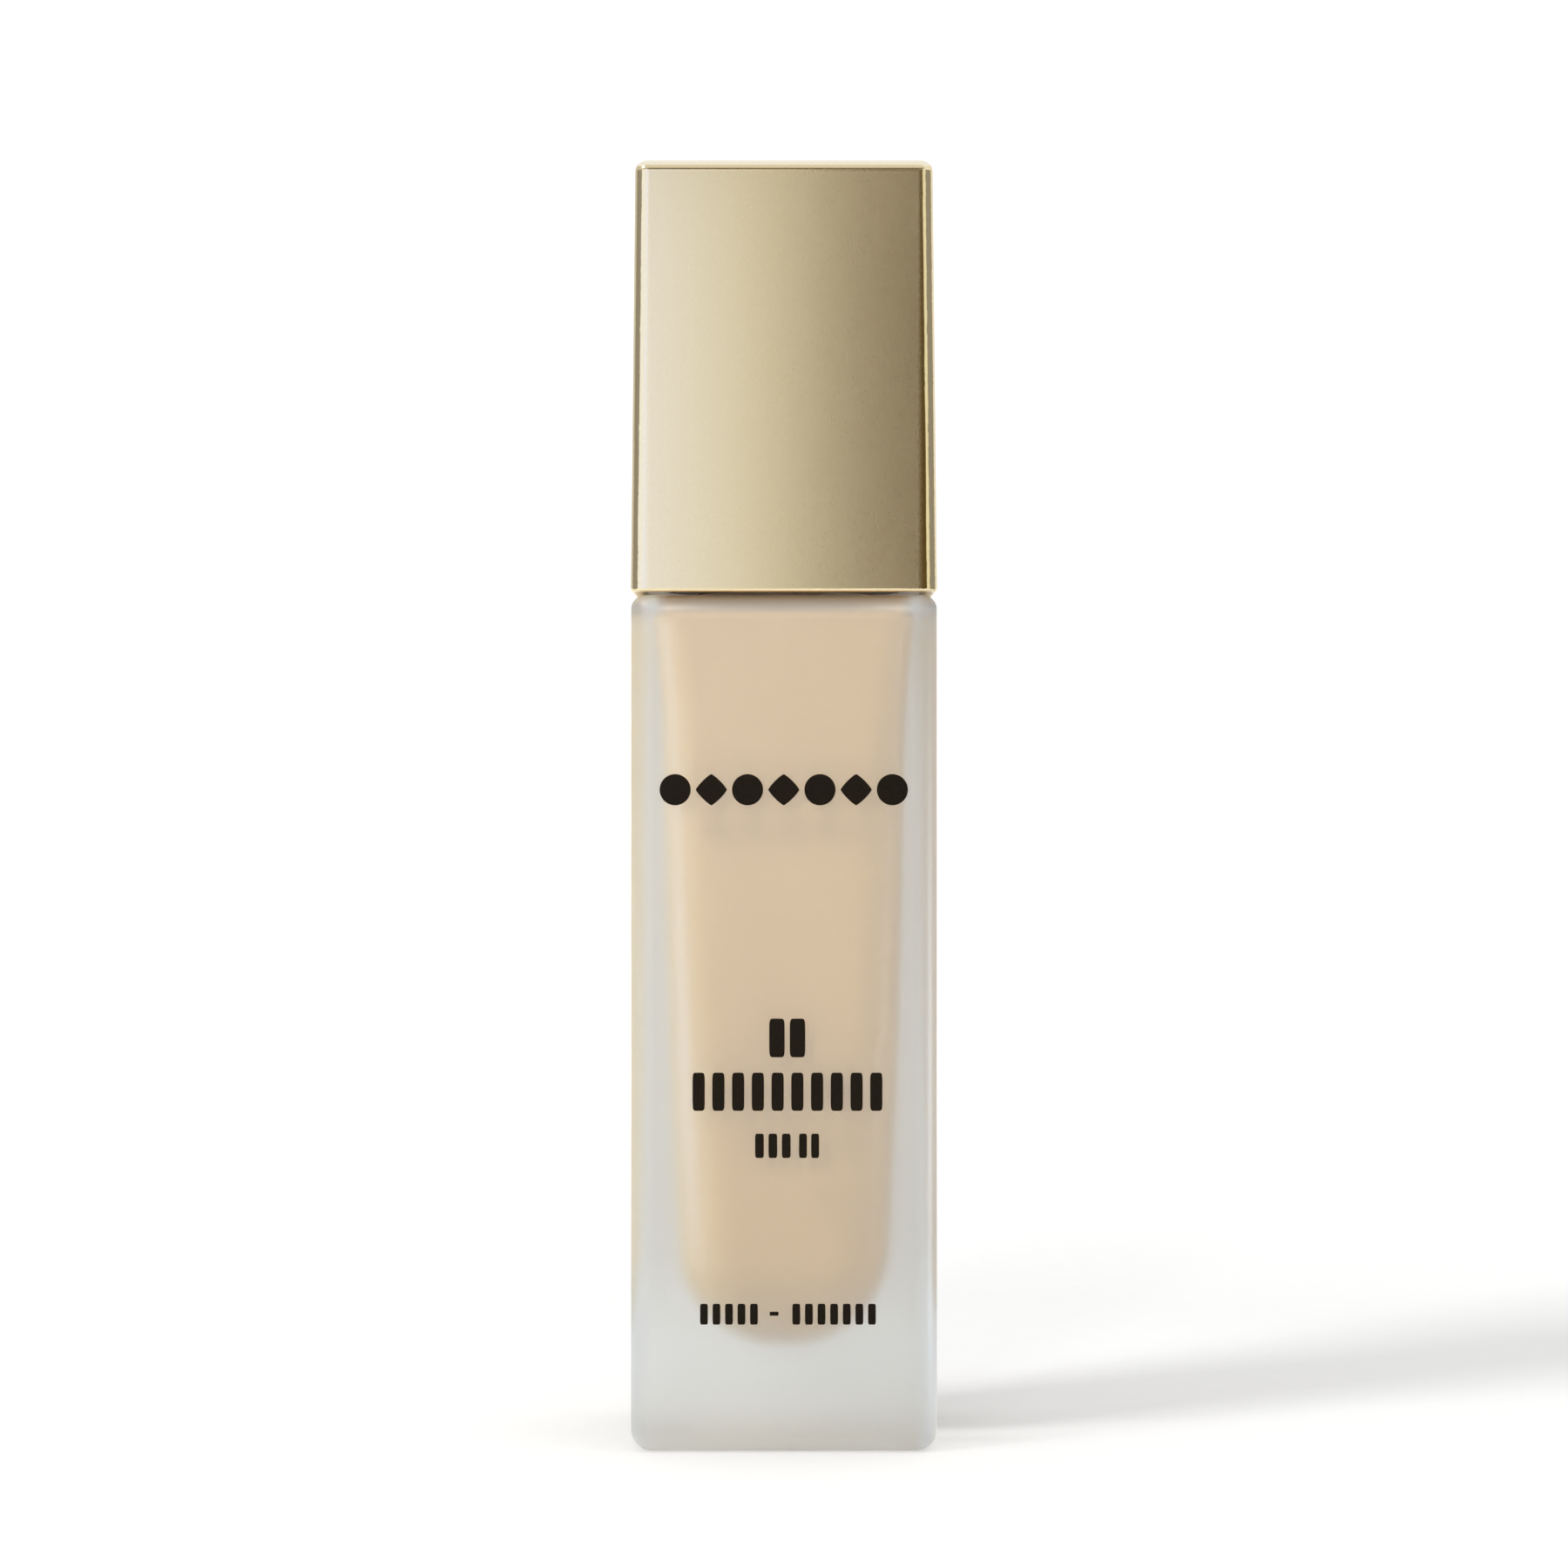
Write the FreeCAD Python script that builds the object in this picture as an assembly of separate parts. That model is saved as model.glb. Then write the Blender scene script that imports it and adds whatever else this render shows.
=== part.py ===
import FreeCAD, Part

import math
import os

# A square foundation bottle: a heavy frosted-glass body full of liquid foundation, a screw-on cream pump,
# and a tall drafted overcap that hides the pump.
# Millimetres, +Z up, origin at the middle of the base, front face towards -Y.

V = FreeCAD.Vector
UP = V(0, 0, 1)
ORIGIN = V(0, 0, 0)

# ---- Driving dimensions ----
width = 31.0  # glass body, flat to flat, and the overcap's foot
glass_height = 86.6  # base to shoulder
overall_height = 130.6  # base to the overcap's top

glass_corner = 2.3  # vertical edges, in plan
heel_round = 2.1
shoulder_round = 1.35
punt_half, punt_depth, punt_slope = 9.5, 0.6, 1.5  # shallow hollow under the base

cavity_floor = 9.7  # the thick foot of the glass
cavity_roof = 85.2
dome_half, dome_rise = 10.8, 10.3  # quarter-ellipse floor of the cavity
cavity_widening = 1.55  # from the floor dome to the shoulder
flare_start, flare_width = 68.2, 1.1  # extra widening close under the shoulder
corner_share_low, corner_share_high = 0.6, 0.26  # cavity corner radius over its half width, foot and roof
roof_round = 1.0
roof_dome_radius, roof_dome_rise = 11.3, 0.7  # the roof rises towards the neck

neck_radius, neck_height, neck_bore, lip_round = 8.7, 13.6, 6.0, 0.5
thread_radius, thread_pitch = 9.75, 3.175
glass_thread_start = 5.1  # height over the shoulder
glass_thread_turns, closure_thread_turns = 1.5, 1.25
closure_thread_drop = 1.2  # from the glass thread's centreline down to the closure's
thread_root_depth = 0.25  # how deep the ridges start inside the walls they stand on
bead_radius, bead_start, bead_width, bead_slope = 9.5, 1.1, 1.3, 0.5  # ring under the thread

liquid_gap = 0.04  # keeps the liquid a hair off the glass
channel_gap = 0.1  # between the pump and the liquid round it

cap_gap = 0.3  # open joint between shoulder and overcap
cap_draft = 0.45  # how much each side leans in by the top
cap_corner, cap_top_round, cap_foot_round = 1.4, 1.1, 0.35
cap_wall, cap_roof, cap_inner_corner = 1.15, 1.3, 0.7

pump_stroke = 4.5
lost_motion = 1.2  # stem travel that opens the outlet before the piston follows
running_gap = 0.05  # radial, between parts that slide or turn
seat_gap = 0.05  # axial, between parts that only meet
press_gap = 0.02  # between parts that are pressed together

# ---- Heights that follow from them ----
lip = glass_height + neck_height
gasket_top = lip + 1.2
flange_top = gasket_top + 1.4  # pump housing's flange
closure_foot = glass_height + 1.2
closure_top = flange_top + seat_gap + 1.4
chaplet_disc_top = closure_top + 1.35
tower_top = chaplet_disc_top + 1.8
head_foot = chaplet_disc_top + pump_stroke + 0.4
head_top = head_foot + 12.0
spout_height = head_foot + 7.8
stem_top = head_foot + 5.4
cap_foot = glass_height + cap_gap

# ---- Radii of the pump, from the middle outwards ----
seat_radius, chamber_radius, seat_rise = 1.0, 2.2, 1.0  # conical seat under the ball's chamber
ledge_bore, ledge_slot = 1.45, 0.8
ball_radius = 1.6
tube_radius, tube_bore = 2.0, 1.4
socket_radius = 3.2  # outside of the socket that holds the dip tube
stem_radius, stem_bore, stop_radius = 2.5, 1.5, 3.8
spring_wire, spring_radius, spring_coils = 0.5, 3.1, 5
poppet_foot_radius, poppet_radius = 2.4, 3.6
piston_waist = 3.5
tower_radius = 4.0
housing_bore, housing_radius = 4.2, 5.2
rim_radius, rim_height = 6.5, 1.5  # snap rim on top of the housing
chaplet_radius = 8.2
flange_radius, gasket_radius = 9.5, 8.7
closure_hole, closure_bore, closure_radius = 7.2, 10.0, 11.25
collar_hole, collar_inner, collar_radius = 8.7, 11.3, 11.8
head_radius, head_wall, head_roof = 7.5, 0.8, 1.0
spout_bore, spout_plug, spout_tip, spout_shoulder = 0.75, 1.6, 1.7, 2.15
spout_reach = 11.3  # from the bottle's axis to the nozzle's tip

# ---- Heights inside the pump ----
spring_ledge = lip - 23.4
ball_chamber_top = spring_ledge - 1.0
seat_top = ball_chamber_top - 2.8
socket_top = seat_top - seat_rise - 1.4  # where the dip tube stops
housing_foot = socket_top - 7.3
housing_cone_foot, housing_cone_top = seat_top - 0.2, spring_ledge - 0.2
valve_head_top = lip - 12.4
valve_head_foot = valve_head_top - 1.6
shank_top = valve_head_top + 4.5  # of the poppet, inside the stem
piston_foot = valve_head_top + seat_gap
stop_foot = lip - 3.8  # underside of the stem's stop flange
stop_top = stop_foot + 2.15
piston_top = stop_foot - lost_motion - seat_gap
plug_foot = stop_top + seat_gap
vent_height = piston_top - 0.7  # air hole, covered by the piston's upper lip at rest
tube_foot = cavity_floor + 1.6


def rounded_square(half, radius, z):
    """Closed wire of a square with round corners, centred on the axis, at height z."""
    flat = half - radius
    bulge = flat + radius / math.sqrt(2)
    edges = []
    for quarter in range(4):
        turn = FreeCAD.Rotation(UP, 90 * quarter)
        side_from, side_to = turn.multVec(V(half, -flat, z)), turn.multVec(V(half, flat, z))
        corner_mid, corner_end = turn.multVec(V(bulge, bulge, z)), turn.multVec(V(flat, half, z))
        edges.append(Part.LineSegment(side_from, side_to).toShape())
        edges.append(Part.Arc(side_to, corner_mid, corner_end).toShape())
    return Part.Wire(edges)


def loft(sections, ruled=False):
    """Solid through (half, corner radius, z) sections."""
    return Part.makeLoft([rounded_square(*section) for section in sections], True, ruled)


def turned(outline):
    """Solid turned about Z from a closed outline of (radius, z) points."""
    points = [V(radius, 0, z) for radius, z in outline]
    face = Part.Face(Part.makePolygon(points + points[:1]))
    return face.revolve(ORIGIN, UP, 360)


def disc(radius, z_from, z_to):
    return Part.makeCylinder(radius, z_to - z_from, V(0, 0, z_from))


def ring(outer, inner, z_from, z_to):
    return disc(outer, z_from, z_to).cut(disc(inner, z_from, z_to))


def box(x_from, x_to, y_from, y_to, z_from, z_to):
    return Part.makeBox(x_to - x_from, y_to - y_from, z_to - z_from, V(x_from, y_from, z_from))


def round_edges(shape, radius, chosen):
    """Fillets every edge for which chosen(bounding box) is true."""
    return shape.makeFillet(radius, [edge for edge in shape.Edges if chosen(edge.BoundBox)])


def flat_at(z):
    """Test for edges that lie level at height z."""
    return lambda bounds: abs(bounds.ZMin - z) < 1e-3 and abs(bounds.ZMax - z) < 1e-3


def circle_at(radius, z):
    """Test for level circles of one radius at height z."""
    return lambda bounds: flat_at(z)(bounds) and abs(bounds.XMax - radius) < 1e-3


def helical_ridge(root_radius, crest_radius, root, crest, start_z, turns):
    """Thread ridge whose section tapers from one half width at its root to another at its crest."""
    helix = Part.makeHelix(thread_pitch, thread_pitch * turns, root_radius)
    helix.translate(V(0, 0, start_z))
    corners = ((root_radius, -root), (crest_radius, -crest), (crest_radius, crest), (root_radius, root))
    points = [V(radius, 0, start_z + up) for radius, up in corners]
    sweep = Part.BRepOffsetAPI.MakePipeShell(helix)
    sweep.setFrenetMode(True)
    sweep.add(Part.makePolygon(points + points[:1]), False, False)
    sweep.build()
    sweep.makeSolid()
    return sweep.shape()


# ---- Glass and liquid ----


def cavity_half(z):
    """Half width of the cavity at height z: elliptical floor, widening wall, flare at the shoulder."""
    dome_top = cavity_floor + dome_rise
    if z < dome_top:
        return dome_half * math.sqrt(1 - ((dome_top - z) / dome_rise) ** 2)
    up_wall = (z - dome_top) / (cavity_roof - dome_top)
    flare = max(0.0, (z - flare_start) / (cavity_roof - flare_start))
    return dome_half + cavity_widening * (1 - (1 - up_wall) ** 2.4) + flare_width * flare**2


def cavity(inset=0.0):
    """The hollow of the glass body, or the liquid's outer shape if inset from it."""
    dome_top = cavity_floor + dome_rise
    levels = [dome_top - dome_rise * math.cos(math.radians(angle)) for angle in range(8, 90, 14)]
    levels += [dome_top + (cavity_roof - dome_top) * up for up in (0, 0.12, 0.3, 0.5, 0.7, 0.84, 0.93, 1)]
    sections = []
    for level in levels:
        share = (level - cavity_floor) / (cavity_roof - cavity_floor)
        corner_share = corner_share_low + (corner_share_high - corner_share_low) * share
        half = cavity_half(level) - inset
        shift = inset * (1 - 2 * share)  # raises the floor and lowers the roof by the inset
        sections.append((half, half * corner_share, level + shift))
    hollow = loft(sections)
    roof = cavity_roof - inset
    hollow = round_edges(hollow, roof_round, flat_at(roof))
    overlap = roof - 2
    dome = turned(
        [
            (0, overlap),
            (roof_dome_radius, overlap),
            (roof_dome_radius, roof),
            (neck_bore - inset, roof + roof_dome_rise),
            (0, roof + roof_dome_rise),
        ]
    )
    return hollow.fuse(dome)


def glass_bottle():
    half = width / 2
    body = loft([(half, glass_corner, 0), (half, glass_corner, glass_height)], ruled=True)
    body = round_edges(body, heel_round, flat_at(0))
    body = round_edges(body, shoulder_round, flat_at(glass_height))
    neck = disc(neck_radius, cavity_roof + 1, lip)
    neck = round_edges(neck, lip_round, circle_at(neck_radius, lip))
    bead_low = glass_height + bead_start
    bead_high = bead_low + bead_width
    inside_neck = neck_radius - thread_root_depth
    bead = turned(
        [
            (inside_neck, bead_low - bead_slope),
            (neck_radius, bead_low - bead_slope),
            (bead_radius, bead_low),
            (bead_radius, bead_high),
            (neck_radius, bead_high + bead_slope),
            (inside_neck, bead_high + bead_slope),
        ]
    )
    start = glass_height + glass_thread_start
    thread = helical_ridge(inside_neck, thread_radius, 1.0, 0.45, start, glass_thread_turns)
    glass = body.fuse(neck).fuse(bead).fuse(thread)
    glass = glass.cut(cavity()).cut(disc(neck_bore, cavity_roof - 1, lip + 1))
    punt = loft([(punt_half, 3.0, 0), (punt_half - punt_slope, 2.2, punt_depth)], ruled=True)
    return glass.cut(punt)


def foundation_liquid():
    """Fills the cavity round the pump, with a channel that the pump can rise through as it unscrews."""
    wide, narrow, tube = (radius + channel_gap for radius in (housing_radius, socket_radius, tube_radius))
    channel_foot = tube_foot - 3 * channel_gap
    channel = turned(
        [
            (0, channel_foot),
            (tube, channel_foot),
            (tube, housing_foot - channel_gap),
            (narrow, housing_foot - channel_gap),
            (narrow, housing_cone_foot),
            (wide, housing_cone_top),
            (wide, glass_height),
            (0, glass_height),
        ]
    )
    return cavity(liquid_gap).cut(channel)


# ---- Screw closure ----


def neck_gasket():
    return ring(gasket_radius, neck_bore + running_gap, lip, gasket_top)


def screw_closure():
    inside = flange_top + seat_gap
    shell = turned(
        [
            (closure_bore, closure_foot),
            (closure_radius, closure_foot),
            (closure_radius, closure_top),
            (closure_hole, closure_top),
            (closure_hole, inside),
            (closure_bore, inside),
        ]
    )
    shell = round_edges(shell, 0.4, circle_at(closure_radius, closure_top))
    # The ridge hangs just under the glass thread, as it does when the closure is tight.
    start = glass_height + glass_thread_start - closure_thread_drop
    root_radius, crest_radius = closure_bore + thread_root_depth, neck_radius + 0.3
    return shell.fuse(helical_ridge(root_radius, crest_radius, 0.6, 0.3, start, closure_thread_turns))


def collar_shell():
    """Thin drawn metal sleeve pressed over the plastic closure, turned in over its top."""
    under, top = closure_top + 0.03, closure_top + 0.45
    sleeve = disc(collar_radius, closure_foot, top)
    sleeve = round_edges(sleeve, 0.7, circle_at(collar_radius, top))
    inside = disc(collar_inner, closure_foot, under)
    inside = round_edges(inside, 0.35, circle_at(collar_inner, under))
    return sleeve.cut(inside).cut(disc(collar_hole, closure_foot, top))


# ---- Pump ----


def pump_housing():
    rim_top = flange_top + rim_height
    body = turned(
        [
            (seat_radius, socket_top),
            (tube_radius, socket_top),
            (tube_radius, housing_foot),
            (socket_radius, housing_foot),
            (socket_radius, housing_cone_foot),
            (housing_radius, housing_cone_top),
            (housing_radius, gasket_top),
            (flange_radius, gasket_top),
            (flange_radius, flange_top),
            (rim_radius, flange_top),
            (rim_radius, rim_top),
            (housing_bore, rim_top),
            (housing_bore, spring_ledge),
            (ledge_bore, spring_ledge),
            (ledge_bore, ball_chamber_top),
            (chamber_radius, ball_chamber_top),
            (chamber_radius, seat_top),
            (seat_radius, seat_top - seat_rise),
        ]
    )
    # Three slots let liquid past the ball when it is up against the ledge.
    slot = box(0, chamber_radius - 0.1, -ledge_slot / 2, ledge_slot / 2, ball_chamber_top, spring_ledge)
    for turn in (0, 120, 240):
        body = body.cut(slot.rotated(ORIGIN, UP, turn))
    vent = Part.makeCylinder(0.3, housing_radius, V(0, 0, vent_height), V(1, 0, 0))
    return body.cut(vent)


def chaplet():
    """Snaps over the housing's rim, guides the stem and traps the closure."""
    guide = stem_radius + running_gap
    plug, clip_inner, clip_outer = housing_bore - press_gap, rim_radius + press_gap, closure_hole - 0.2
    clip_foot, disc_foot = flange_top + press_gap, closure_top + 0.1
    piece = turned(
        [
            (guide, plug_foot),
            (plug, plug_foot),
            (plug, disc_foot),
            (clip_inner, disc_foot),
            (clip_inner, clip_foot),
            (clip_outer, clip_foot),
            (clip_outer, disc_foot),
            (chaplet_radius, disc_foot),
            (chaplet_radius, chaplet_disc_top),
            (tower_radius, chaplet_disc_top),
            (tower_radius, tower_top),
            (guide, tower_top),
        ]
    )
    piece = round_edges(piece, 0.5, circle_at(chaplet_radius, chaplet_disc_top))
    return round_edges(piece, 0.4, circle_at(tower_radius, tower_top))


def pump_stem():
    """Hollow stem with a stop flange under the chaplet and four ports that the piston uncovers."""
    foot = valve_head_top + 1.0
    piece = turned(
        [
            (stem_bore, foot),
            (stem_radius, foot),
            (stem_radius, stop_foot),
            (stop_radius, stop_foot),
            (stop_radius, stop_top),
            (stem_radius, stop_top),
            (stem_radius, stem_top),
            (stem_bore, stem_top),
        ]
    )
    port_height = shank_top + 1.4
    for direction in (V(1, 0, 0), V(0, 1, 0)):
        start = V(0, 0, port_height) - direction * stop_radius
        piece = piece.cut(Part.makeCylinder(0.5, 2 * stop_radius, start, direction))
    return piece


def stem_valve():
    """Poppet pressed into the stem's foot: its head shuts the piston's underside at rest."""
    bevel = 0.5
    piece = turned(
        [
            (0, valve_head_foot),
            (poppet_foot_radius, valve_head_foot),
            (poppet_radius, valve_head_foot + bevel),
            (poppet_radius, valve_head_top),
            (stem_bore, valve_head_top),
            (stem_bore, shank_top),
            (0, shank_top),
        ]
    )
    return round_edges(piece, 0.4, circle_at(stem_bore, shank_top))


def pump_piston():
    """Soft piston with a lip at each end, free to slide on the stem between its valve and its stop."""
    inner, lip_radius = stem_radius + running_gap, housing_bore - 0.03
    lip_length, lip_slope = 1.4, 0.9
    return turned(
        [
            (inner, piston_foot),
            (lip_radius, piston_foot),
            (lip_radius, piston_foot + lip_length),
            (piston_waist, piston_foot + lip_length + lip_slope),
            (piston_waist, piston_top - lip_length - lip_slope),
            (lip_radius, piston_top - lip_length),
            (lip_radius, piston_top),
            (inner, piston_top),
        ]
    )


def return_spring():
    """Coil spring with closed ends, between the housing's ledge and the poppet."""
    low = spring_ledge + spring_wire / 2 + press_gap
    high = valve_head_foot - spring_wire / 2 - press_gap
    closed_rise = spring_wire * 1.15  # over the one closed turn at each end
    open_rise = (high - low - 2 * closed_rise) / spring_coils
    points, height, steps = [], low, 16
    for step in range((spring_coils + 2) * steps + 1):
        angle = 2 * math.pi * step / steps
        points.append(V(spring_radius * math.cos(angle), spring_radius * math.sin(angle), height))
        open_coil = steps <= step < (spring_coils + 1) * steps
        height += (open_rise if open_coil else closed_rise) / steps
    curve = Part.BSplineCurve()
    curve.interpolate(points)
    start, along = curve.value(curve.FirstParameter), curve.tangent(curve.FirstParameter)[0]
    section = Part.Wire(Part.makeCircle(spring_wire / 2, start, along))
    return Part.Wire(curve.toShape()).makePipeShell([section], True, True)


def inlet_ball():
    """Check ball resting in the conical seat at the foot of the pump chamber."""
    slope = math.atan((chamber_radius - seat_radius) / seat_rise)
    cone_tip = seat_top - seat_rise - seat_radius / math.tan(slope)
    centre = cone_tip + ball_radius / math.sin(slope) + press_gap
    return Part.makeSphere(ball_radius, V(0, 0, centre))


def dip_tube():
    """Straight tube with a slanted foot, so that it can't seal itself against the floor."""
    tube = ring(tube_radius - press_gap, tube_bore, tube_foot, socket_top)
    slant_angle, reach = 30, 3 * tube_radius
    slant = box(-reach, reach, -reach, reach, -reach, 0).rotated(ORIGIN, V(0, 1, 0), slant_angle)
    slant.translate(V(0, 0, tube_foot + tube_radius * math.tan(math.radians(slant_angle))))
    return tube.cut(slant)


# ---- Push head ----


def actuator_core():
    """White inner moulding of the push button: stem socket, product channel and bore for the spout."""
    skirt_inner, boss_radius, channel_radius = 5.6, 4.0, 1.2
    core_radius = head_radius - head_wall - press_gap
    core_foot, core_top, boss_foot = head_foot + 0.2, head_top - head_roof - press_gap, head_foot + 1.9
    core = disc(core_radius, core_foot, core_top)
    core = core.cut(ring(skirt_inner, boss_radius, core_foot, stem_top + 0.6))
    core = core.cut(disc(boss_radius, core_foot, boss_foot))
    core = core.cut(disc(stem_radius + 0.03, boss_foot, stem_top + seat_gap))
    core = core.cut(disc(channel_radius, stem_top, spout_height))
    bore = Part.makeCylinder(spout_plug + press_gap, core_radius, V(0, 0, spout_height), V(0, -1, 0))
    return core.cut(bore)


def spout():
    """Nozzle pushed into the core through the shell's side hole: a plug, a shoulder and a cone."""
    plug_end, shoulder = 1.6, head_radius - head_wall + 0.1
    nozzle = turned(
        [
            (spout_bore, plug_end),
            (spout_plug, plug_end),
            (spout_plug, shoulder),
            (spout_shoulder, shoulder),
            (spout_tip, spout_reach),
            (spout_bore, spout_reach),
        ]
    )
    nozzle = round_edges(nozzle, 0.45, circle_at(spout_tip, spout_reach))
    nozzle.rotate(ORIGIN, V(1, 0, 0), 90)
    nozzle.translate(V(0, 0, spout_height))
    return nozzle


def actuator_shell():
    """Metallised skin of the push button, with a shallow dish for the fingertip."""
    skin = disc(head_radius, head_foot, head_top)
    skin = round_edges(skin, 0.9, circle_at(head_radius, head_top))
    skin = round_edges(skin, 0.2, circle_at(head_radius, head_foot))
    skin = skin.cut(disc(head_radius - head_wall, head_foot, head_top - head_roof))
    dish_depth, dish_rim = 0.45, 5.6
    dish_radius = (dish_rim**2 + dish_depth**2) / (2 * dish_depth)
    skin = skin.cut(Part.makeSphere(dish_radius, V(0, 0, head_top - dish_depth + dish_radius)))
    hole = Part.makeCylinder(spout_shoulder + 0.1, head_radius, V(0, 0, spout_height), V(0, -1, 0))
    return skin.cut(hole)


# ---- Overcap ----


def cap_space(inset=0.0):
    """Drafted hollow inside the overcap's skin."""
    roof = overall_height - cap_roof - inset
    half_foot = width / 2 - cap_wall - inset
    half_roof = half_foot - cap_draft * (roof - cap_foot) / (overall_height - cap_foot)
    return loft([(half_foot, cap_inner_corner, cap_foot), (half_roof, cap_inner_corner, roof)], ruled=True)


def overcap_shell():
    half = width / 2
    skin = loft([(half, cap_corner, cap_foot), (half - cap_draft, cap_corner, overall_height)], ruled=True)
    skin = round_edges(skin, cap_top_round, flat_at(overall_height))
    skin = round_edges(skin, cap_foot_round, flat_at(cap_foot))
    return skin.cut(cap_space())


def overcap_liner():
    """Inner cup glued into the skin: it grips the collar, and ribs carry it on the skin's walls."""
    cup_radius = 12.85
    wide_bore, narrow_bore = collar_radius + 0.2, collar_radius - 0.15  # they meet over the collar's top
    foot, step, roof = cap_foot + 0.6, closure_top + 0.5, head_top + 2.4
    thickness, rib_top = 1.1, roof - 4
    body = disc(cup_radius, foot, roof + thickness)
    body = body.fuse(box(-width, width, -width, width, foot, foot + thickness))
    rib = box(-width, width, -thickness / 2, thickness / 2, foot, rib_top)
    for turn in (0, 45, 90, 135):
        body = body.fuse(rib.rotated(ORIGIN, UP, turn))
    body = body.common(cap_space(press_gap))
    body = body.cut(disc(wide_bore, foot, step)).cut(disc(narrow_bore, foot, roof))
    # Half-round grip beads that just clear the collar.
    grip_radius, grip_foot, grip_length = 0.5, glass_height + 4, 10
    grip_at = V(collar_radius + press_gap + grip_radius, 0, grip_foot)
    grip = Part.makeCylinder(grip_radius, grip_length, grip_at)
    for turn in range(30, 360, 60):
        body = body.fuse(grip.rotated(ORIGIN, UP, turn))
    return body


def main():
    os.makedirs("parts", exist_ok=True)
    makers = (
        glass_bottle,
        foundation_liquid,
        neck_gasket,
        screw_closure,
        collar_shell,
        pump_housing,
        chaplet,
        pump_stem,
        stem_valve,
        pump_piston,
        return_spring,
        inlet_ball,
        dip_tube,
        actuator_core,
        spout,
        actuator_shell,
        overcap_shell,
        overcap_liner,
    )
    for make in makers:
        shape = make()
        print(f"{make.__name__}: {len(shape.Solids)} solid, valid {shape.isValid()}, {shape.Volume:.1f} mm3")
        shape.exportStep(f"parts/{make.__name__}.step")


main()
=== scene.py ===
import math

import bpy
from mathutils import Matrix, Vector


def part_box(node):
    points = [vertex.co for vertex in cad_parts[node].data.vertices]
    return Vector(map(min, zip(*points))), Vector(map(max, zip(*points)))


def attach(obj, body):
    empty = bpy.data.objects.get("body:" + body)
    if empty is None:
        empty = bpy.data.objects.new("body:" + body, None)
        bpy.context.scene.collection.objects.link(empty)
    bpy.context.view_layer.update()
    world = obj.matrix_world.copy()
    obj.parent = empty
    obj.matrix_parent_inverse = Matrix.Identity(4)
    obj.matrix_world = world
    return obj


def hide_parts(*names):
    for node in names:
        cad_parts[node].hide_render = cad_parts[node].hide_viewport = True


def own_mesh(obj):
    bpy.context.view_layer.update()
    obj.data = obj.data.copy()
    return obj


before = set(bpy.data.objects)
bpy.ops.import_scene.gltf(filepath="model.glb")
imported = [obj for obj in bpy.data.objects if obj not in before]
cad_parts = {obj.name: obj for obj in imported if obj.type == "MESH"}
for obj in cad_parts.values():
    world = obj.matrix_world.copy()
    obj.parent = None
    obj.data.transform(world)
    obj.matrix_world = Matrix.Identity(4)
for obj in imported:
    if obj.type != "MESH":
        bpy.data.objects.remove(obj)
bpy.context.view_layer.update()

# A foundation bottle: frosted glass round beige liquid, near-black print, and a satin champagne-gold overcap
# over a white pump with a gold collar. Everything is in metres, in the CAD frame: +Z up, the printed face
# towards -Y.

MM = 0.001
WHITE = (1, 1, 1, 1)


# ---- Node trees ----


def new_tree(name):
    """A new material with an empty node tree. Returns both."""
    material = bpy.data.materials.new(name)
    material.use_nodes = True
    material.node_tree.nodes.clear()
    return material, material.node_tree


def add(tree, kind, inputs=None, **settings):
    """Adds a shader node. An input is a value, or another node's output to link from."""
    node = tree.nodes.new("ShaderNode" + kind)
    for name, value in settings.items():
        setattr(node, name, value)
    for socket, value in (inputs or {}).items():
        if isinstance(value, bpy.types.NodeSocket):
            tree.links.new(value, node.inputs[socket])
        else:
            node.inputs[socket].default_value = value
    return node


def maths(tree, operation, first, second=0.0):
    """Result of one sum on two values."""
    return add(tree, "Math", {0: first, 1: second}, operation=operation).outputs[0]


def place(tree):
    """Position in the piece's own frame, in metres, so that patterns move with their piece."""
    return add(tree, "TexCoord").outputs["Object"]


def noise(tree, size, stretch=(1, 1, 1), detail=3.0):
    """Noise whose blotches are about size metres across, longer along an axis where stretch is above 1."""
    scale = [1 / (size * along) for along in stretch]
    mapping = add(tree, "Mapping", {"Vector": place(tree), "Scale": scale})
    inputs = {"Vector": mapping.outputs[0], "Scale": 1.0, "Detail": detail}
    return add(tree, "TexNoise", inputs).outputs["Fac"]


def between(tree, factor, low, high, start=0.3, end=0.7):
    """Value from low to high as factor goes from start to end. Noise mostly lies between 0.3 and 0.7."""
    inputs = {"Value": factor, "From Min": start, "From Max": end, "To Min": low, "To Max": high}
    return add(tree, "MapRange", inputs).outputs["Result"]


def ramp(tree, factor, stops):
    """Colour that runs through (factor, colour) stops."""
    node = add(tree, "ValToRGB", {"Fac": factor})
    elements = node.color_ramp.elements
    for n, (position, colour) in enumerate(stops):
        element = elements[n] if n < 2 else elements.new(position)
        element.position, element.color = position, (*colour, 1)
    return node.outputs["Color"]


def mixed(tree, factor, first, second):
    """Colour that goes from first to second as factor goes from 0 to 1."""
    # A Mix node's colours are its inputs 6 and 7 and its output 2.
    return add(tree, "Mix", {0: factor, 6: first, 7: second}, data_type="RGBA").outputs[2]


def shades(tree, factor, dark, light):
    """Colour from dark to light with noise."""
    return ramp(tree, factor, ((0.3, dark), (0.7, light)))


def bump(tree, height, depth):
    """Surface normal over a relief depth metres deep."""
    return add(tree, "Bump", {"Height": height, "Distance": depth, "Strength": 1.0}).outputs["Normal"]


def finish_with(tree, shader):
    """Makes the shader node the material's surface."""
    add(tree, "OutputMaterial", {"Surface": shader.outputs[0]})


def finish_principled(tree, inputs):
    """Makes one principled shader the material's surface."""
    finish_with(tree, add(tree, "BsdfPrincipled", inputs))


# ---- Materials ----


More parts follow.
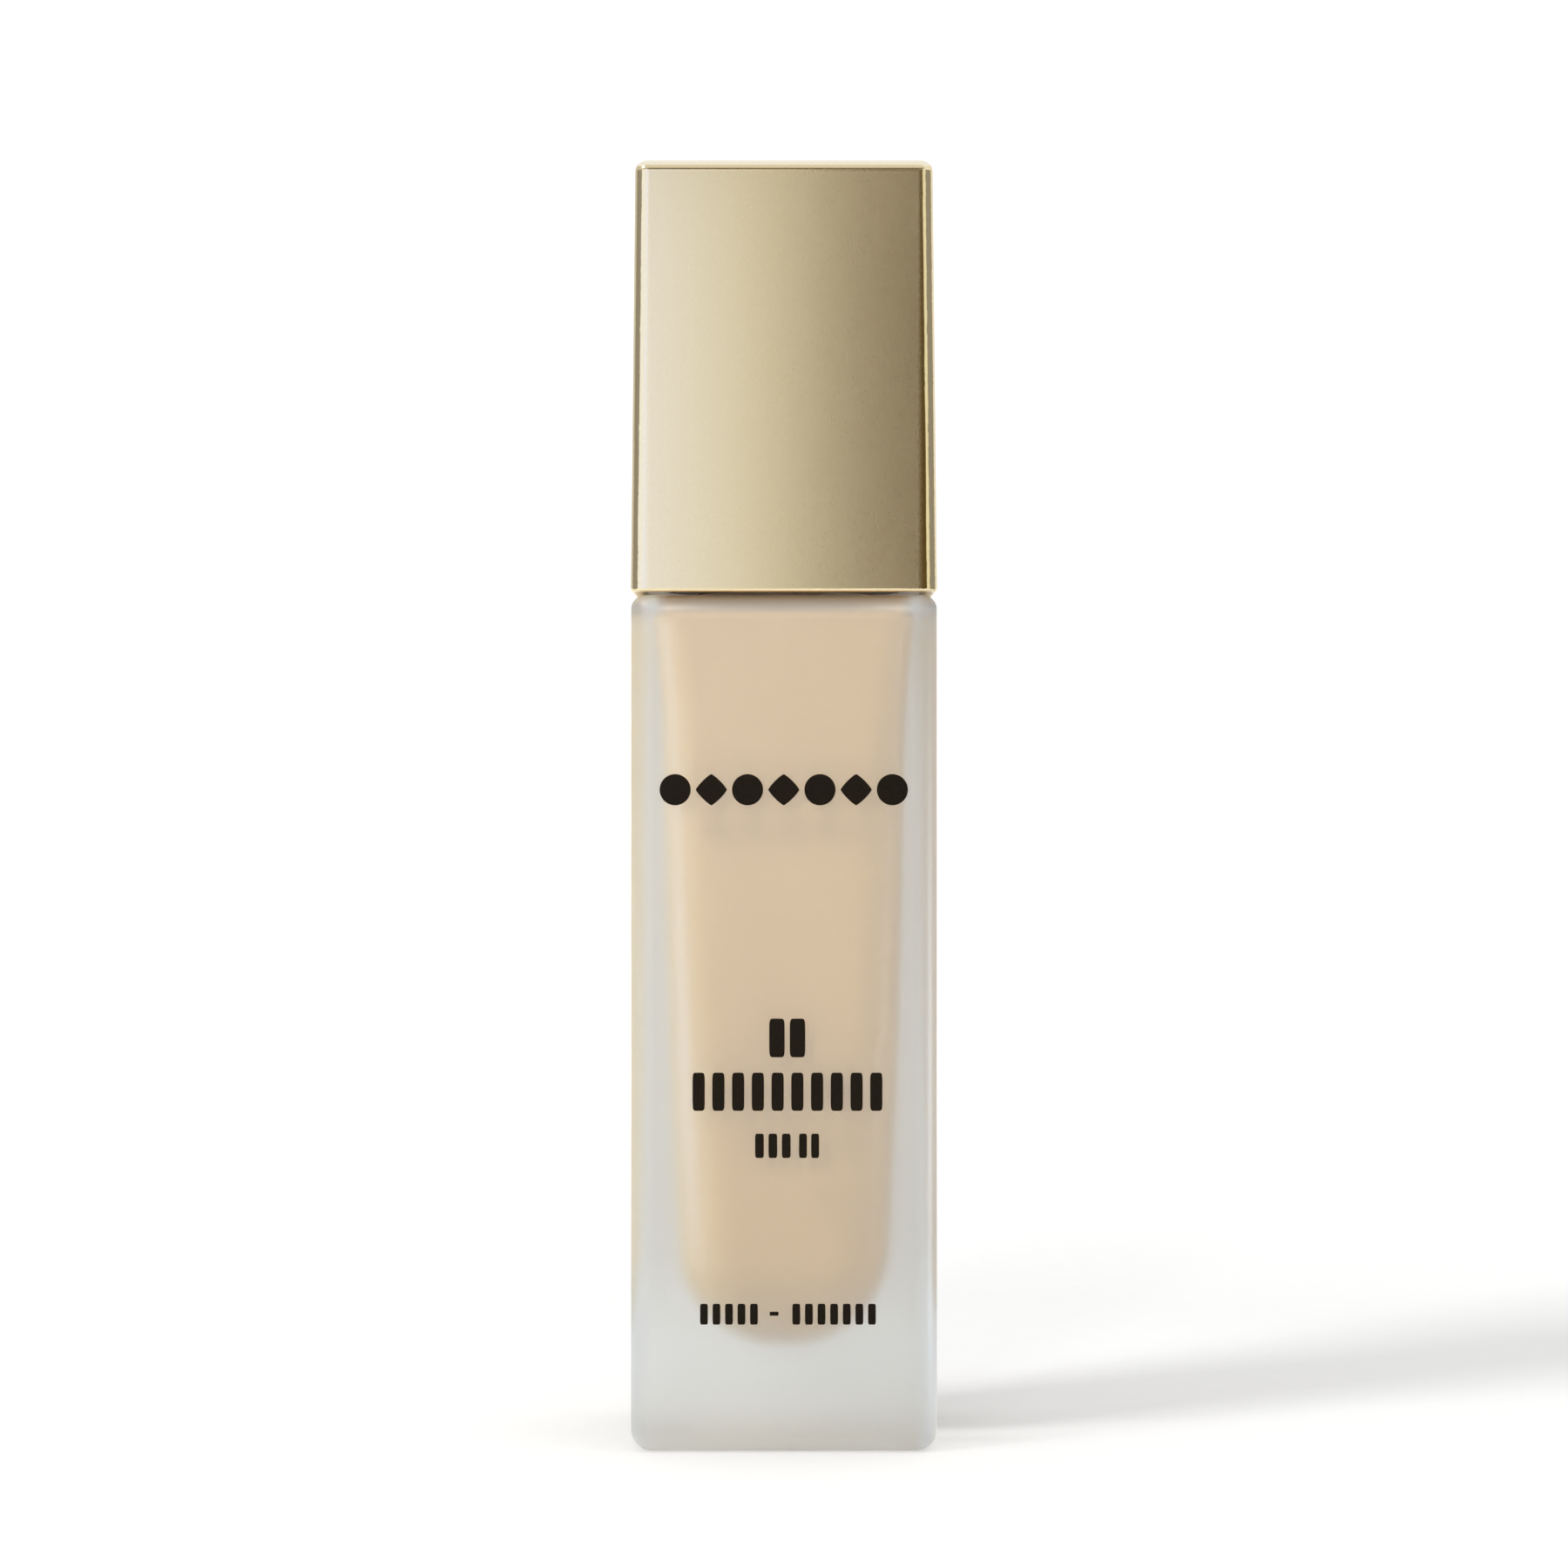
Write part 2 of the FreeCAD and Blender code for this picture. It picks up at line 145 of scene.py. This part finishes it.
def champagne_gold():
    """Satin metallised plastic with a fine upright grain, smoother on the rounds, where the mould was
    polished."""
    material, tree = new_tree("champagne_gold")
    grain = noise(tree, 0.16 * MM, stretch=(1, 1, 3), detail=2)
    mottle = noise(tree, 3 * MM, stretch=(1, 1, 2.5), detail=2)
    uneven = maths(tree, "ADD", maths(tree, "MULTIPLY", grain, 0.8), maths(tree, "MULTIPLY", mottle, 0.2))
    x, y, z = add(tree, "SeparateXYZ", {0: place(tree)}).outputs
    nearer_axis = maths(tree, "MINIMUM", maths(tree, "ABSOLUTE", x), maths(tree, "ABSOLUTE", y))
    polish = 0.45  # share of the satin roughness that is left on the rounds
    on_edges = between(tree, nearer_axis, 1.0, polish, start=13.5 * MM, end=14.1 * MM)
    on_top = between(tree, z, 1.0, polish, start=129.3 * MM, end=129.7 * MM)
    satin = maths(tree, "MINIMUM", on_edges, on_top)
    finish_principled(
        tree,
        {
            "Base Color": shades(tree, uneven, (0.785, 0.655, 0.41), (0.825, 0.69, 0.44)),
            "Metallic": 1.0,
            "Roughness": maths(tree, "MULTIPLY", satin, between(tree, uneven, 0.27, 0.31)),
            "Normal": bump(tree, grain, 0.0015 * MM),
        },
    )
    return material


def anodised_gold():
    """Bright anodised metal, turned, with fine rings round the axis."""
    material, tree = new_tree("anodised_gold")
    rings = noise(tree, 0.06 * MM, stretch=(60, 60, 1), detail=3)
    finish_principled(
        tree,
        {
            "Base Color": shades(tree, rings, (0.72, 0.57, 0.33), (0.82, 0.67, 0.42)),
            "Metallic": 1.0,
            "Roughness": between(tree, rings, 0.14, 0.24),
            "Normal": bump(tree, rings, 0.003 * MM),
        },
    )
    return material


def moulded_plastic(name, dark, light, roughness, clear):
    """Moulded plastic with a fine orange-peel skin and slightly uneven colour. Clear is the share of light
    that passes under the skin."""
    material, tree = new_tree(name)
    peel = noise(tree, 0.35 * MM, detail=2)
    blotch = noise(tree, 3.0 * MM, detail=4)
    finish_principled(
        tree,
        {
            "Base Color": shades(tree, blotch, dark, light),
            "Roughness": between(tree, peel, roughness - 0.05, roughness + 0.08),
            "Subsurface Weight": clear,
            "Subsurface Radius": (1.0, 0.95, 0.85),
            "Subsurface Scale": 1.2 * MM,
            "IOR": 1.49,
            "Normal": bump(tree, peel, 0.006 * MM),
        },
    )
    return material


def steel():
    """Bright drawn steel, for the spring and the ball."""
    material, tree = new_tree("spring_steel")
    drawn = noise(tree, 0.12 * MM, detail=4)
    finish_principled(
        tree,
        {
            "Base Color": shades(tree, drawn, (0.50, 0.50, 0.49), (0.66, 0.66, 0.65)),
            "Metallic": 1.0,
            "Roughness": between(tree, drawn, 0.18, 0.32),
            "Normal": bump(tree, drawn, 0.002 * MM),
        },
    )
    return material


def ink():
    """Screen-printed enamel: near-black, a little uneven where it was squeezed through the mesh."""
    material, tree = new_tree("print_ink")
    mesh = noise(tree, 0.12 * MM, detail=3)
    finish_principled(
        tree,
        {
            "Base Color": shades(tree, mesh, (0.006, 0.004, 0.002), (0.012, 0.008, 0.005)),
            "Roughness": between(tree, mesh, 0.42, 0.58),
            "Specular IOR Level": 0.05,
            "Normal": bump(tree, mesh, 0.004 * MM),
        },
    )
    return material


def foundation():
    """Opaque beige liquid, a little streaked where the pigment settles."""
    material, tree = new_tree("foundation")
    streak = noise(tree, 5 * MM, stretch=(1, 1, 4), detail=3)
    finish_principled(
        tree,
        {
            "Base Color": shades(tree, streak, (0.635, 0.395, 0.13), (0.66, 0.415, 0.145)),
            "Roughness": between(tree, streak, 0.34, 0.40),
            "Coat Weight": 1.0,
            "Coat Roughness": 0.42,
            "Subsurface Weight": 0.35,
            "Subsurface Radius": (1.0, 0.75, 0.55),
            "Subsurface Scale": 2.0 * MM,
            "Normal": bump(tree, streak, 0.01 * MM),
        },
    )
    return material


def glass_tint(tree, across, along, z):
    """The etched glass's colour, with painted reflections and painted shade in it. Across and along are the
    distances from the axis in x and y.
    """
    # Neutral, and lighter in the solid foot than on the walls. The rest is painted light: the heel is painted
    # warmer and darker, as the liquid shows through it, the shoulder is painted with a warm reflection of the
    # liquid and cap, and the shoulder's top under the cap is painted with the cap's brown shade.
    heel, foot, wall = (0.575, 0.545, 0.485), (0.63, 0.635, 0.615), (0.565, 0.56, 0.535)
    # The shoulder colour is a painted warm reflection, and the one after it is the cap's painted shade on the
    # shoulder's top.
    shoulder, painted_cap_shade = (1.0, 0.92, 0.78), (0.51, 0.385, 0.265)
    height = between(tree, z, 0.0, 1.0, start=0.0, end=100 * MM)
    zones = (  # height as a share of 100 mm, colour
        (0.0, heel),
        (0.05, foot),
        (0.11, foot),
        (0.2, wall),
        (0.842, wall),
        (0.85, shoulder),
        (0.862, painted_cap_shade),
    )
    # Painted sheen: the rounded upright edges are painted paler and cooler than the faces, for the light they
    # gather from all round.
    # They take up more of the width at the shoulder, where they run into its corners and paint them greyer
    # than the shoulder.
    edge_start = between(tree, z, 13.2 * MM, 11.6 * MM, start=82 * MM, end=84.5 * MM)
    edge_end = between(tree, z, 14.8 * MM, 13.0 * MM, start=82 * MM, end=84.5 * MM)
    on_edge = between(tree, maths(tree, "MINIMUM", across, along), 0, 1, start=edge_start, end=edge_end)
    return mixed(tree, on_edge, ramp(tree, height, zones), (0.585, 0.605, 0.612, 1))


def frosted_glass():
    """Acid-etched outside and clear inside. The liquid wets the cavity wall, so that wall bends no light."""
    material, tree = new_tree("frosted_glass")
    etch = noise(tree, 0.05 * MM, detail=2)
    x, y, z = add(tree, "SeparateXYZ", {0: place(tree)}).outputs
    across, along = maths(tree, "ABSOLUTE", x), maths(tree, "ABSOLUTE", y)
    # Light that the etched skin scatters, over light that it lets through blurred.
    skin_share = 0.25
    outside = add(
        tree,
        "BsdfPrincipled",
        {
            "Base Color": glass_tint(tree, across, along, z),
            "Roughness": between(tree, etch, 0.38, 0.46),
            "IOR": 1.5,
            "Transmission Weight": 1 - skin_share,
            "Normal": bump(tree, etch, 0.002 * MM),
        },
    )
    # The skin holds back a share of the lamps' light, and more of the light from all round.
    path = add(tree, "LightPath").outputs
    passed = between(tree, path["Is Shadow Ray"], 0.70, 0.87, start=0, end=1)
    passing = add(tree, "BsdfTransparent", {"Color": passed})
    lighting = maths(tree, "MAXIMUM", path["Is Shadow Ray"], path["Is Diffuse Ray"])
    etched = add(tree, "MixShader", {0: lighting, 1: outside.outputs[0], 2: passing.outputs[0]})
    # The cavity's wall: within its height, and clear of the outer faces.
    inner = maths(tree, "LESS_THAN", maths(tree, "MAXIMUM", across, along), 13.9 * MM)
    above_foot = maths(tree, "GREATER_THAN", z, 5 * MM)
    under_shoulder = maths(tree, "LESS_THAN", z, 86 * MM)
    wetted = maths(tree, "MULTIPLY", inner, maths(tree, "MULTIPLY", above_foot, under_shoulder))
    clear = add(tree, "BsdfTransparent", {"Color": WHITE})
    finish_with(tree, add(tree, "MixShader", {0: wetted, 1: etched.outputs[0], 2: clear.outputs[0]}))
    return material


def floor_white():
    """White paper that glows more with distance, so that it meets the backdrop without a horizon."""
    material, tree = new_tree("floor_white")
    paper = noise(tree, 4 * MM, detail=4)
    away = add(tree, "VectorMath", {0: place(tree)}, operation="LENGTH").outputs["Value"]
    finish_principled(
        tree,
        {
            "Base Color": shades(tree, paper, (0.86, 0.86, 0.855), (0.87, 0.87, 0.865)),
            "Roughness": 0.8,
            "Specular IOR Level": 0.1,
            "Emission Color": WHITE,
            "Emission Strength": between(tree, away, 0.0, 0.38, start=0.12, end=0.5),
        },
    )
    return material


def card_tone(name, colour):
    """Even tone of a studio card, the same whatever light falls on it."""
    material, tree = new_tree(name)
    finish_with(tree, add(tree, "Emission", {"Color": (*colour, 1), "Strength": 1.0}))
    return material


def paint(piece, material):
    """Makes the material the piece's only one."""
    piece.data.materials.clear()
    piece.data.materials.append(material)


# ---- Pieces made here ----


def mesh_piece(name, points, faces):
    """A new object in the scene, from its points and faces."""
    mesh = bpy.data.meshes.new(name)
    mesh.from_pydata(points, [], faces)
    mesh.update()
    piece = bpy.data.objects.new(name, mesh)
    bpy.context.scene.collection.objects.link(piece)
    return piece


def mark(middle, centre_z, half_width, half_height, power, steps=40):
    """Outline of one printed mark in mm: power 1 is a diamond, 2 an oval, and above 4 a rounded block."""
    outline = []
    for step in range(steps):
        angle = 2 * math.pi * (step + 0.5) / steps
        across, up = math.cos(angle), math.sin(angle)
        x = middle + half_width * math.copysign(abs(across) ** (2 / power), across)
        z = centre_z + half_height * math.copysign(abs(up) ** (2 / power), up)
        outline.append((x, z))
    return outline


def row_of_marks(left, right, foot, top, count, fill, powers):
    """Evenly spaced marks between left and right, each taking the share fill of its space."""
    space = (right - left) / count
    half_width, half_height = space * fill / 2, (top - foot) / 2
    return [
        mark(left + space * (n + 0.5), foot + half_height, half_width, half_height, powers[n % len(powers)])
        for n in range(count)
    ]


def front_print(face_y):
    """Plain marks on the front of the glass, as thin raised plates of ink."""
    block, oval, diamond = (7.0,), 2.0, 1.2
    rows = (  # left, right, foot and top in mm, number of marks, share of their space they take, powers
        (-12.8, 12.75, 65.35, 68.5, 7, 0.86, (oval, diamond)),
        (-1.75, 2.4, 39.95, 43.85, 2, 0.75, block),
        (-9.6, 10.3, 34.55, 38.4, 10, 0.62, block),
        (-3.15, 0.9, 29.8, 32.25, 3, 0.65, block),
        (1.3, 3.75, 29.8, 32.25, 2, 0.65, block),
        (-8.7, -2.4, 13.0, 15.1, 5, 0.62, block),
        (-1.5, -0.5, 13.9, 14.3, 1, 0.9, block),
        (0.6, 9.5, 13.0, 15.1, 7, 0.62, block),
    )
    ink_thickness, stand_off = 0.03 * MM, 0.004 * MM
    points, faces = [], []
    for outline in [outline for row in rows for outline in row_of_marks(*row)]:
        first, size = len(points), len(outline)
        for depth in (stand_off, stand_off + ink_thickness):
            points += [(x * MM, face_y - depth, z * MM) for x, z in outline]
        faces.append([first + n for n in reversed(range(size))])
        faces.append([first + size + n for n in range(size)])
        for n in range(size):
            after = (n + 1) % size
            faces.append([first + n, first + after, first + size + after, first + size + n])
    return mesh_piece("front_print", points, faces)


def coil_spring(low, high):
    """The pump's spring between two box corners, as one swept coil with a closed turn at each end."""
    wire = 0.25 * MM  # the wire's radius
    turns_open, steps, round_steps = 5, 40, 14
    coil_radius = high.x - wire
    closed_rise = 2 * wire * 1.15  # per turn, where the turns all but touch
    open_rise = (high.z - low.z - 2 * wire - 2 * closed_rise) / turns_open
    count = (turns_open + 2) * steps
    height = low.z + wire
    centres = []
    for step in range(count + 1):
        angle = 2 * math.pi * step / steps
        centres.append(Vector((coil_radius * math.cos(angle), coil_radius * math.sin(angle), height)))
        height += (open_rise if steps <= step < count - steps else closed_rise) / steps
    points, faces = [], []
    for step, centre in enumerate(centres):
        along = (centres[min(step + 1, count)] - centres[max(step - 1, 0)]).normalized()
        outward = Vector((centre.x, centre.y, 0)).normalized()
        across = along.cross(outward)
        for n in range(round_steps):
            angle = 2 * math.pi * n / round_steps
            points.append(centre + wire * (math.cos(angle) * outward + math.sin(angle) * across))
    for step in range(count):
        for n in range(round_steps):
            after = (n + 1) % round_steps
            here, there = step * round_steps, (step + 1) * round_steps
            faces.append([here + n, here + after, there + after, there + n])
    faces.append(list(reversed(range(round_steps))))
    faces.append([count * round_steps + n for n in range(round_steps)])
    piece = mesh_piece("return_coil", points, faces)
    for face in piece.data.polygons:
        face.use_smooth = True
    return piece


# ---- Studio ----


def reflector(name, points, faces, tone):
    """Studio card that only reflections see."""
    piece = mesh_piece(name, points, faces)
    paint(piece, tone)
    piece.visible_camera = False
    piece.visible_diffuse = False
    piece.visible_transmission = False
    piece.visible_shadow = False


def upright_card(name, azimuth_from, azimuth_to, low, high, tone):
    """Upright curved card round the bottle's axis, between two azimuths in degrees."""
    steps, radius = 16, 0.10
    points = []
    for step in range(steps + 1):
        angle = math.radians(azimuth_from + (azimuth_to - azimuth_from) * step / steps)
        points += [(radius * math.sin(angle), -radius * math.cos(angle), z) for z in (low, high)]
    faces = [[2 * step, 2 * step + 2, 2 * step + 3, 2 * step + 1] for step in range(steps)]
    reflector(name, points, faces, tone)


def roof_card(name, y_from, y_to, tone):
    """Level card over the overcap."""
    half_width, height = 0.12, 0.21
    ends = ((-half_width, y_from), (half_width, y_from), (half_width, y_to), (-half_width, y_to))
    reflector(name, [(x, y, height) for x, y in ends], [[0, 1, 2, 3]], tone)


def around(azimuth, elevation, distance, target):
    """Point at a distance from the target. Azimuth 0 is towards -Y and positive is to the viewer's right."""
    turn, rise = math.radians(azimuth), math.radians(elevation)
    level = math.cos(rise)
    back = Vector((math.sin(turn) * level, -math.cos(turn) * level, math.sin(rise)))
    return target + back * distance


def aim(thing, target):
    """Turns a lamp to face the target."""
    thing.rotation_mode = "QUATERNION"
    thing.rotation_quaternion = (target - thing.location).to_track_quat("-Z", "Y")


def softbox(name, azimuth, elevation, distance, size, power, target):
    """Rectangular lamp facing the target: degrees, metres, (width, height) in metres, watts."""
    light = bpy.data.lights.new(name, "AREA")
    light.shape = "RECTANGLE"
    light.size, light.size_y = size
    light.energy = power
    lamp = bpy.data.objects.new(name, light)
    lamp.location = around(azimuth, elevation, distance, target)
    aim(lamp, target)
    lamp.visible_camera = False
    bpy.context.scene.collection.objects.link(lamp)
    return lamp


def light_only(lamp, node):
    """Makes a lamp light one CAD node and nothing else."""
    lit = bpy.data.collections.new(lamp.name + "_lights")
    lit.objects.link(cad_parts[node])
    lamp.light_linking.receiver_collection = lit


def floor():
    """Wide level sheet under the bottle."""
    reach = 6.0
    points = [(-reach, -reach, 0), (reach, -reach, 0), (reach, reach, 0), (-reach, reach, 0)]
    piece = mesh_piece("floor", points, [[0, 1, 2, 3]])
    paint(piece, floor_white())


def lamps():
    """The key from the left, and three small lamps with one job each."""
    middle = Vector((0, 0, 0.065))
    softbox("key", -54, 36, 0.75, (0.16, 0.16), 3.3, middle)
    # Throws the print's soft shadow on the liquid, without a glint of its own.
    shadow_lamp = softbox("front_left", -14, 14, 0.60, (0.05, 0.05), 0.8, middle)
    shadow_lamp.visible_glossy = False
    # Draws the pale line down the liquid's left flank.
    rim = softbox("liquid_rim", -90, -15, 0.12, (0.02, 0.06), 0.08, middle)
    rim.data.color = (0.5, 1.0, 1.8)
    light_only(rim, "foundation_liquid")
    # Lifts the etched right edge of the glass.
    edge = softbox("glass_edge", 80, -15, 0.15, (0.03, 0.08), 0.13, middle)
    edge.data.color = (0.9, 1.0, 1.1)
    light_only(edge, "glass_bottle")


def cards():
    """Cards round the overcap: they shade its face from left to right and draw the lines along its edges."""
    umber = card_tone("card_umber", (0.11, 0.072, 0.02))
    grey = card_tone("card_grey", (0.34, 0.34, 0.34))
    cool = card_tone("card_cool", (1.05, 1.19, 1.72))
    plain = card_tone("card_plain", (0.98, 0.99, 0.84))
    pale = card_tone("card_pale", (1.08, 1.19, 1.48))
    low, high = 0.055, 0.152
    upright_card("card_left_edge", -104, -57, low, high, grey)
    upright_card("card_left_glint", -56, -27, low, high, pale)
    upright_card("card_left", -27, -7, low, high, cool)
    upright_card("card_middle", -7, 1, low, high, plain)
    upright_card("card_right", 2, 32, low, high, umber)
    upright_card("card_right_glint", 33, 50, low, high, plain)
    upright_card("card_right_edge", 52, 104, low, high, grey)
    # A band above them, for the line under the overcap's top edge.
    band_low, band_high = 0.156, 0.174
    upright_card("card_over_left", -60, -12, band_low, band_high, grey)
    upright_card("card_over_edge", -12, 42, band_low, band_high, umber)
    roof_card("card_over_top", -0.055, 0.14, pale)


def backdrop():
    """White all round, brighter from the right, opposite the key lamp. The camera sees it as pure white."""
    world = bpy.data.worlds.new("studio")
    bpy.context.scene.world = world
    world.use_nodes = True
    tree = world.node_tree
    tree.nodes.clear()
    rightward = add(tree, "SeparateXYZ", {0: add(tree, "TexCoord").outputs["Generated"]}).outputs[0]
    side_light = between(tree, rightward, 0.68, 1.05, start=-1, end=1)
    seen = add(tree, "LightPath").outputs["Is Camera Ray"]
    past_white = 1.2
    strength = maths(tree, "MAXIMUM", side_light, maths(tree, "MULTIPLY", seen, past_white))
    background = add(tree, "Background", {"Color": (1.0, 1.0, 0.995, 1), "Strength": strength})
    add(tree, "OutputWorld", {"Surface": background.outputs[0]})


def camera():
    """Level, straight at the printed face, a little above half the bottle's height."""
    lens = bpy.data.cameras.new("camera")
    lens.lens, lens.sensor_width = 100, 36
    lens.clip_start, lens.clip_end = 0.01, 50
    eye = bpy.data.objects.new("camera", lens)
    eye.location = (0, -0.4546, 0.0675)
    eye.rotation_euler = (math.radians(90), 0, 0)
    bpy.context.scene.collection.objects.link(eye)
    bpy.context.scene.camera = eye


def dress():
    """Gives every CAD node its material."""
    gold, anodised = champagne_gold(), anodised_gold()
    white = moulded_plastic("white_polypropylene", (0.78, 0.78, 0.76), (0.83, 0.83, 0.81), 0.38, clear=0.15)
    natural = moulded_plastic("natural_polyethylene", (0.74, 0.73, 0.69), (0.80, 0.79, 0.75), 0.45, clear=0.5)
    materials = {
        "glass_bottle": frosted_glass(),
        "foundation_liquid": foundation(),
        "neck_gasket": natural,
        "screw_closure": white,
        "collar_shell": anodised,
        "pump_housing": white,
        "chaplet": white,
        "pump_stem": white,
        "stem_valve": white,
        "pump_piston": natural,
        "inlet_ball": steel(),
        "dip_tube": natural,
        "actuator_core": white,
        "spout": white,
        "actuator_shell": gold,
        "overcap_shell": gold,
        "overcap_liner": white,
    }
    for node, material in materials.items():
        paint(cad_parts[node], material)


dress()

glass_low, glass_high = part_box("glass_bottle")
print_marks = front_print(glass_low.y)
paint(print_marks, ink())
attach(print_marks, "bottle")

spring_low, spring_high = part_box("return_spring")
coil = coil_spring(spring_low, spring_high)
paint(coil, steel())
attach(coil, "pump")
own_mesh(coil)
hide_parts("return_spring")

floor()
lamps()
cards()
backdrop()
camera()
bpy.context.scene.view_settings.view_transform = "Standard"
